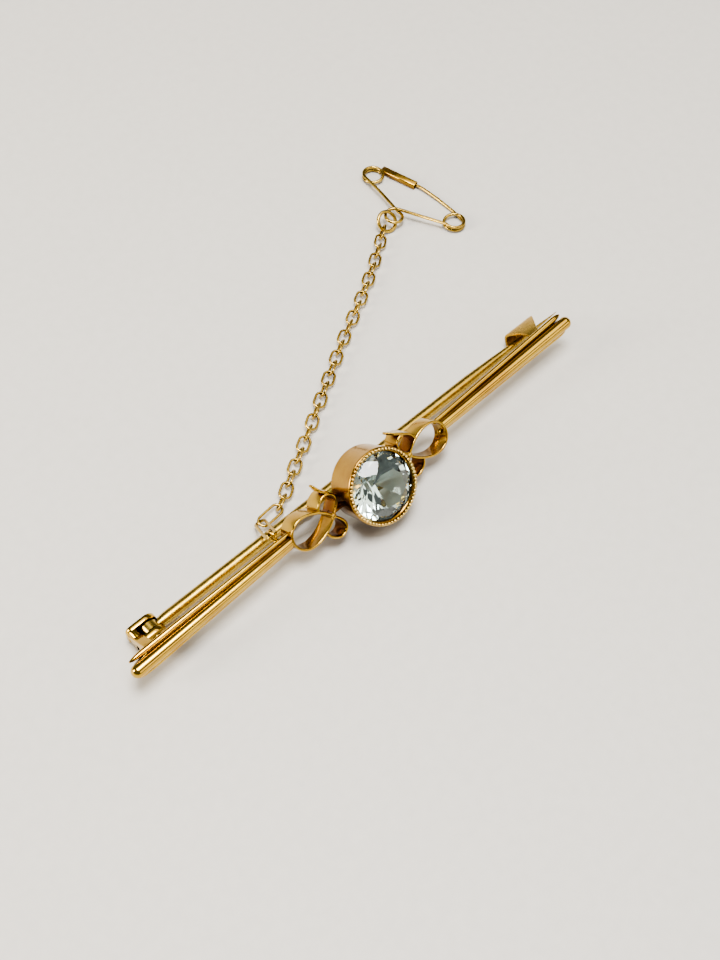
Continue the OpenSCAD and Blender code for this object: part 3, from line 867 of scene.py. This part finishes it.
def small_links(size):
    """Rings of the small links, in equal steps along the route. Each stands on edge or lies nearly flat by
    turns, and overlaps its neighbours by the hook at both ends."""
    fine = smooth(CHAIN_ROUTE, 4)
    run = np.concatenate([[0], np.cumsum(np.linalg.norm(np.diff(fine, axis=0), axis=1))])
    hook = size.link_wire + HOOK_SPARE
    count = 2 * round((run[-1] / (size.link_length - size.link_wire - hook) - 1) / 2) + 1
    stops = np.linspace(0, run[-1], count + 1)
    x, y = (np.interp(stops, run, fine[:, side]) for side in (0, 1))
    knots = np.stack([x, y, 0 * stops + CHAIN_Z], -1)
    a, b = knots[:-1], knots[1:]
    d = unit(b - a)
    k = np.arange(count)
    roll = np.radians(np.where(k % 2 == 0, *LINK_ROLLS) + LINK_SWING * np.sin(np.radians(140 * k)))
    up = np.stack([-d[:, 1] * np.sin(roll), d[:, 0] * np.sin(roll), np.cos(roll)], -1)
    a, b = a - d * hook / 2 - MIDDLE, b + d * hook / 2 - MIDDLE
    return link_rings(a, b, up, size.link_width, size.link_wire)


class BROOCH_OT_chain(bpy.types.Operator):
    """Safety chain of oval links, two larger links at its end, and the jump ring"""

    bl_idname = "brooch.chain"
    bl_label = "Safety chain"

    def execute(self, context):
        size = millimetres(context)
        shells = [large_link(FIRST_LINK, size.big_wire, 60, 16),
                  large_link(SECOND_LINK, size.link_wire, 56, 14), skin(small_links(size), loop=True)]
        add_piece("safety_chain_links", shells, rolled_link(context), "safety_chain",
                  sharp=60)
        # jump ring: leans on the table by its lower edge
        tilt = math.radians(RING_TILT)
        z = RING_R * math.sin(tilt) + size.ring_wire / 2 + 0.01
        ring = turned(wire_rings(circle(RING_R, 96), size.ring_wire / 2, 20, [0, 0, 1], loop=True), tilt, 0)
        ring = ring + [LOOP_AT[0] - RING_R, LOOP_AT[1], z] - MIDDLE
        add_piece("chain_jump_ring", [skin(ring, loop=True)], rolled_link(context), "jump_ring",
                  sharp=60)
        return {"FINISHED"}


class BROOCH_OT_safety_pin(bpy.types.Operator):
    """Small safety pin bent from one wire, and the folded sleeve that covers its point"""

    bl_idname = "brooch.safety_pin"
    bl_label = "Safety pin"

    def execute(self, context):
        size = millimetres(context)
        # heights of the wire's middle: on the table, and after the head ring's turn and a half; a turn rises
        # by a little over the wire's thickness
        low, rise = size.pin_wire / 2 + 0.01, size.pin_wire + 0.05
        top = low + 1.5 * rise
        head = arc(HEAD_AT, HEAD_R, 0, 540, low, top, 96)
        small = arc(LOOP_AT, LOOP_R, 12, -338, top, top + rise + 0.04, 64)
        coil = arc(COIL_AT, COIL_R, 172, 724, low + 1.6 * rise, low, 100)
        back = smooth([head[-1], *([x, y, top] for x, y in BACK_WIRE), small[0]], 8)[1:-1]
        front = smooth([[32.13, 18.97, low]] + FRONT_WIRE, 8)[1:]
        line, radius = rounded(np.vstack([head, back, small, coil, front]), size.pin_wire / 2)
        wire = wire_rings(line, radius, 16, [0, 0, 1]) - MIDDLE
        add_piece("safety_pin_wire", [skin(wire)], rolled_link(context), "safety_pin",
                  sharp=60)
        # sleeve: one skin, over the outside, round the mouth and into the channel
        along, half_w, half_h, corner = np.array(SLEEVE).T
        x, y = oblong(half_w - corner, half_h - corner, corner)
        rings = np.stack([0 * x + along[:, None], x, y + SLEEVE_Z], -1)
        sleeve = turned(rings, math.radians(SLEEVE_TURN), 2) + SLEEVE_AT - MIDDLE
        add_piece("safety_pin_sleeve", [skin(sleeve)], brushed_sheet(context), "safety_pin")
        return {"FINISHED"}


def placed_matrix(right, up, back, place):
    """A matrix from three directions and a place."""
    return Matrix(np.column_stack([right, up, back, place]).tolist() + [[0, 0, 0, 1]])


def add_lamp(scene, name, way, far, box, power, tint):
    """One lamp that looks back at the origin from its direction and distance."""
    light = bpy.data.lights.new(name, "AREA" if box else "SUN")
    light.energy = power
    light.color = linear(tint)[:3]
    if box:
        light.shape = "RECTANGLE"
        light.size, light.size_y = box
    else:
        light.angle = math.radians(PANEL_ANGLE)
    lamp = bpy.data.objects.new(name, light)
    z = unit(np.array(way))
    x = unit(np.cross([0, 0, 1.0], z))
    lamp.matrix_world = placed_matrix(x, np.cross(z, x), z, z * far)
    scene.collection.objects.link(lamp)


def dim_studio():
    """World of a studio: pale near the floor, dim overhead."""
    world = bpy.data.worlds.new("dim_studio")
    world.use_nodes = True
    tree = world.node_tree
    way = put(tree, "ShaderNodeSeparateXYZ", links={0: put(tree, "ShaderNodeTexCoord").outputs["Generated"]})
    height = put(tree, "ShaderNodeMapRange", {"From Max": 0.3, "To Min": 0.62, "To Max": 0.13},
                 {"Value": way.outputs[2]}, interpolation_type="SMOOTHSTEP")
    wall = tree.nodes["Background"]
    wall.inputs["Color"].default_value = linear("#FFFCF6")
    tree.links.new(height.outputs[0], wall.inputs["Strength"])
    return world


class BROOCH_OT_stage(bpy.types.Operator):
    """Pale table top, soft studio lights and the camera at the photograph's angle"""

    bl_idname = "brooch.stage"
    bl_label = "Table, lights and camera"

    def execute(self, context):
        scene = context.scene
        # table top: one wide disc, its far ring left open
        sides = 64
        points, quads, fans = skin(lathe([[r, -0.01] for r in (20, 80, 300, 1500)], sides))
        floor = add_object("table_top", points, quads.tolist() + fans[:sides].tolist(), table_top(context))
        for name, settings in LAMPS.items():
            add_lamp(scene, name, *settings)
        scene.world = dim_studio()
        scene.view_settings.look = "AgX - Medium High Contrast"
        camera = bpy.data.objects.new("photo_camera", bpy.data.cameras.new("photo_camera"))
        camera.data.sensor_fit = "VERTICAL"
        camera.data.sensor_height = 36
        camera.data.lens = CAMERA_LENS
        camera.data.clip_start = 0.01
        camera.matrix_world = placed_matrix(*CAMERA)
        scene.collection.objects.link(camera)
        scene.camera = camera
        return {"FINISHED"}


PIECES = (BROOCH_OT_arms, BROOCH_OT_bows, BROOCH_OT_collet, BROOCH_OT_stone, BROOCH_OT_catch, BROOCH_OT_hinge,
          BROOCH_OT_pin, BROOCH_OT_chain, BROOCH_OT_safety_pin, BROOCH_OT_stage)


class BROOCH_PT_panel(bpy.types.Panel):
    """Sidebar panel with every piece of the brooch"""

    bl_label = "Bar Brooch"
    bl_idname = "BROOCH_PT_panel"
    bl_space_type = "VIEW_3D"
    bl_region_type = "UI"
    bl_category = "Brooch"

    def draw(self, context):
        for group in (context.scene.brooch_sizes, context.scene.brooch_shape, context.scene.brooch_finish):
            box = self.layout.box()
            for key in type(group).__annotations__:
                box.prop(group, key)
        for piece in PIECES:
            self.layout.operator(piece.bl_idname)


CLASSES = (BroochSizes, BroochShape, BroochFinish) + PIECES + (BROOCH_PT_panel,)


def register():
    """Registers every class, and hangs the three groups of settings on the scene."""
    for cls in CLASSES:
        bpy.utils.register_class(cls)
    bpy.types.Scene.brooch_sizes = PointerProperty(type=BroochSizes)
    bpy.types.Scene.brooch_shape = PointerProperty(type=BroochShape)
    bpy.types.Scene.brooch_finish = PointerProperty(type=BroochFinish)


def unregister():
    """Takes off what register puts on."""
    del bpy.types.Scene.brooch_finish
    del bpy.types.Scene.brooch_shape
    del bpy.types.Scene.brooch_sizes
    for cls in reversed(CLASSES):
        bpy.utils.unregister_class(cls)


def main():
    """Makes every piece in order."""
    register()
    bpy.ops.brooch.arms()
    bpy.ops.brooch.bows()
    bpy.ops.brooch.collet()
    bpy.ops.brooch.stone()
    bpy.ops.brooch.catch()
    bpy.ops.brooch.hinge()
    bpy.ops.brooch.pin()
    bpy.ops.brooch.chain()
    bpy.ops.brooch.safety_pin()
    bpy.ops.brooch.stage()
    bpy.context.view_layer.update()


if __name__ == "__main__":
    main()
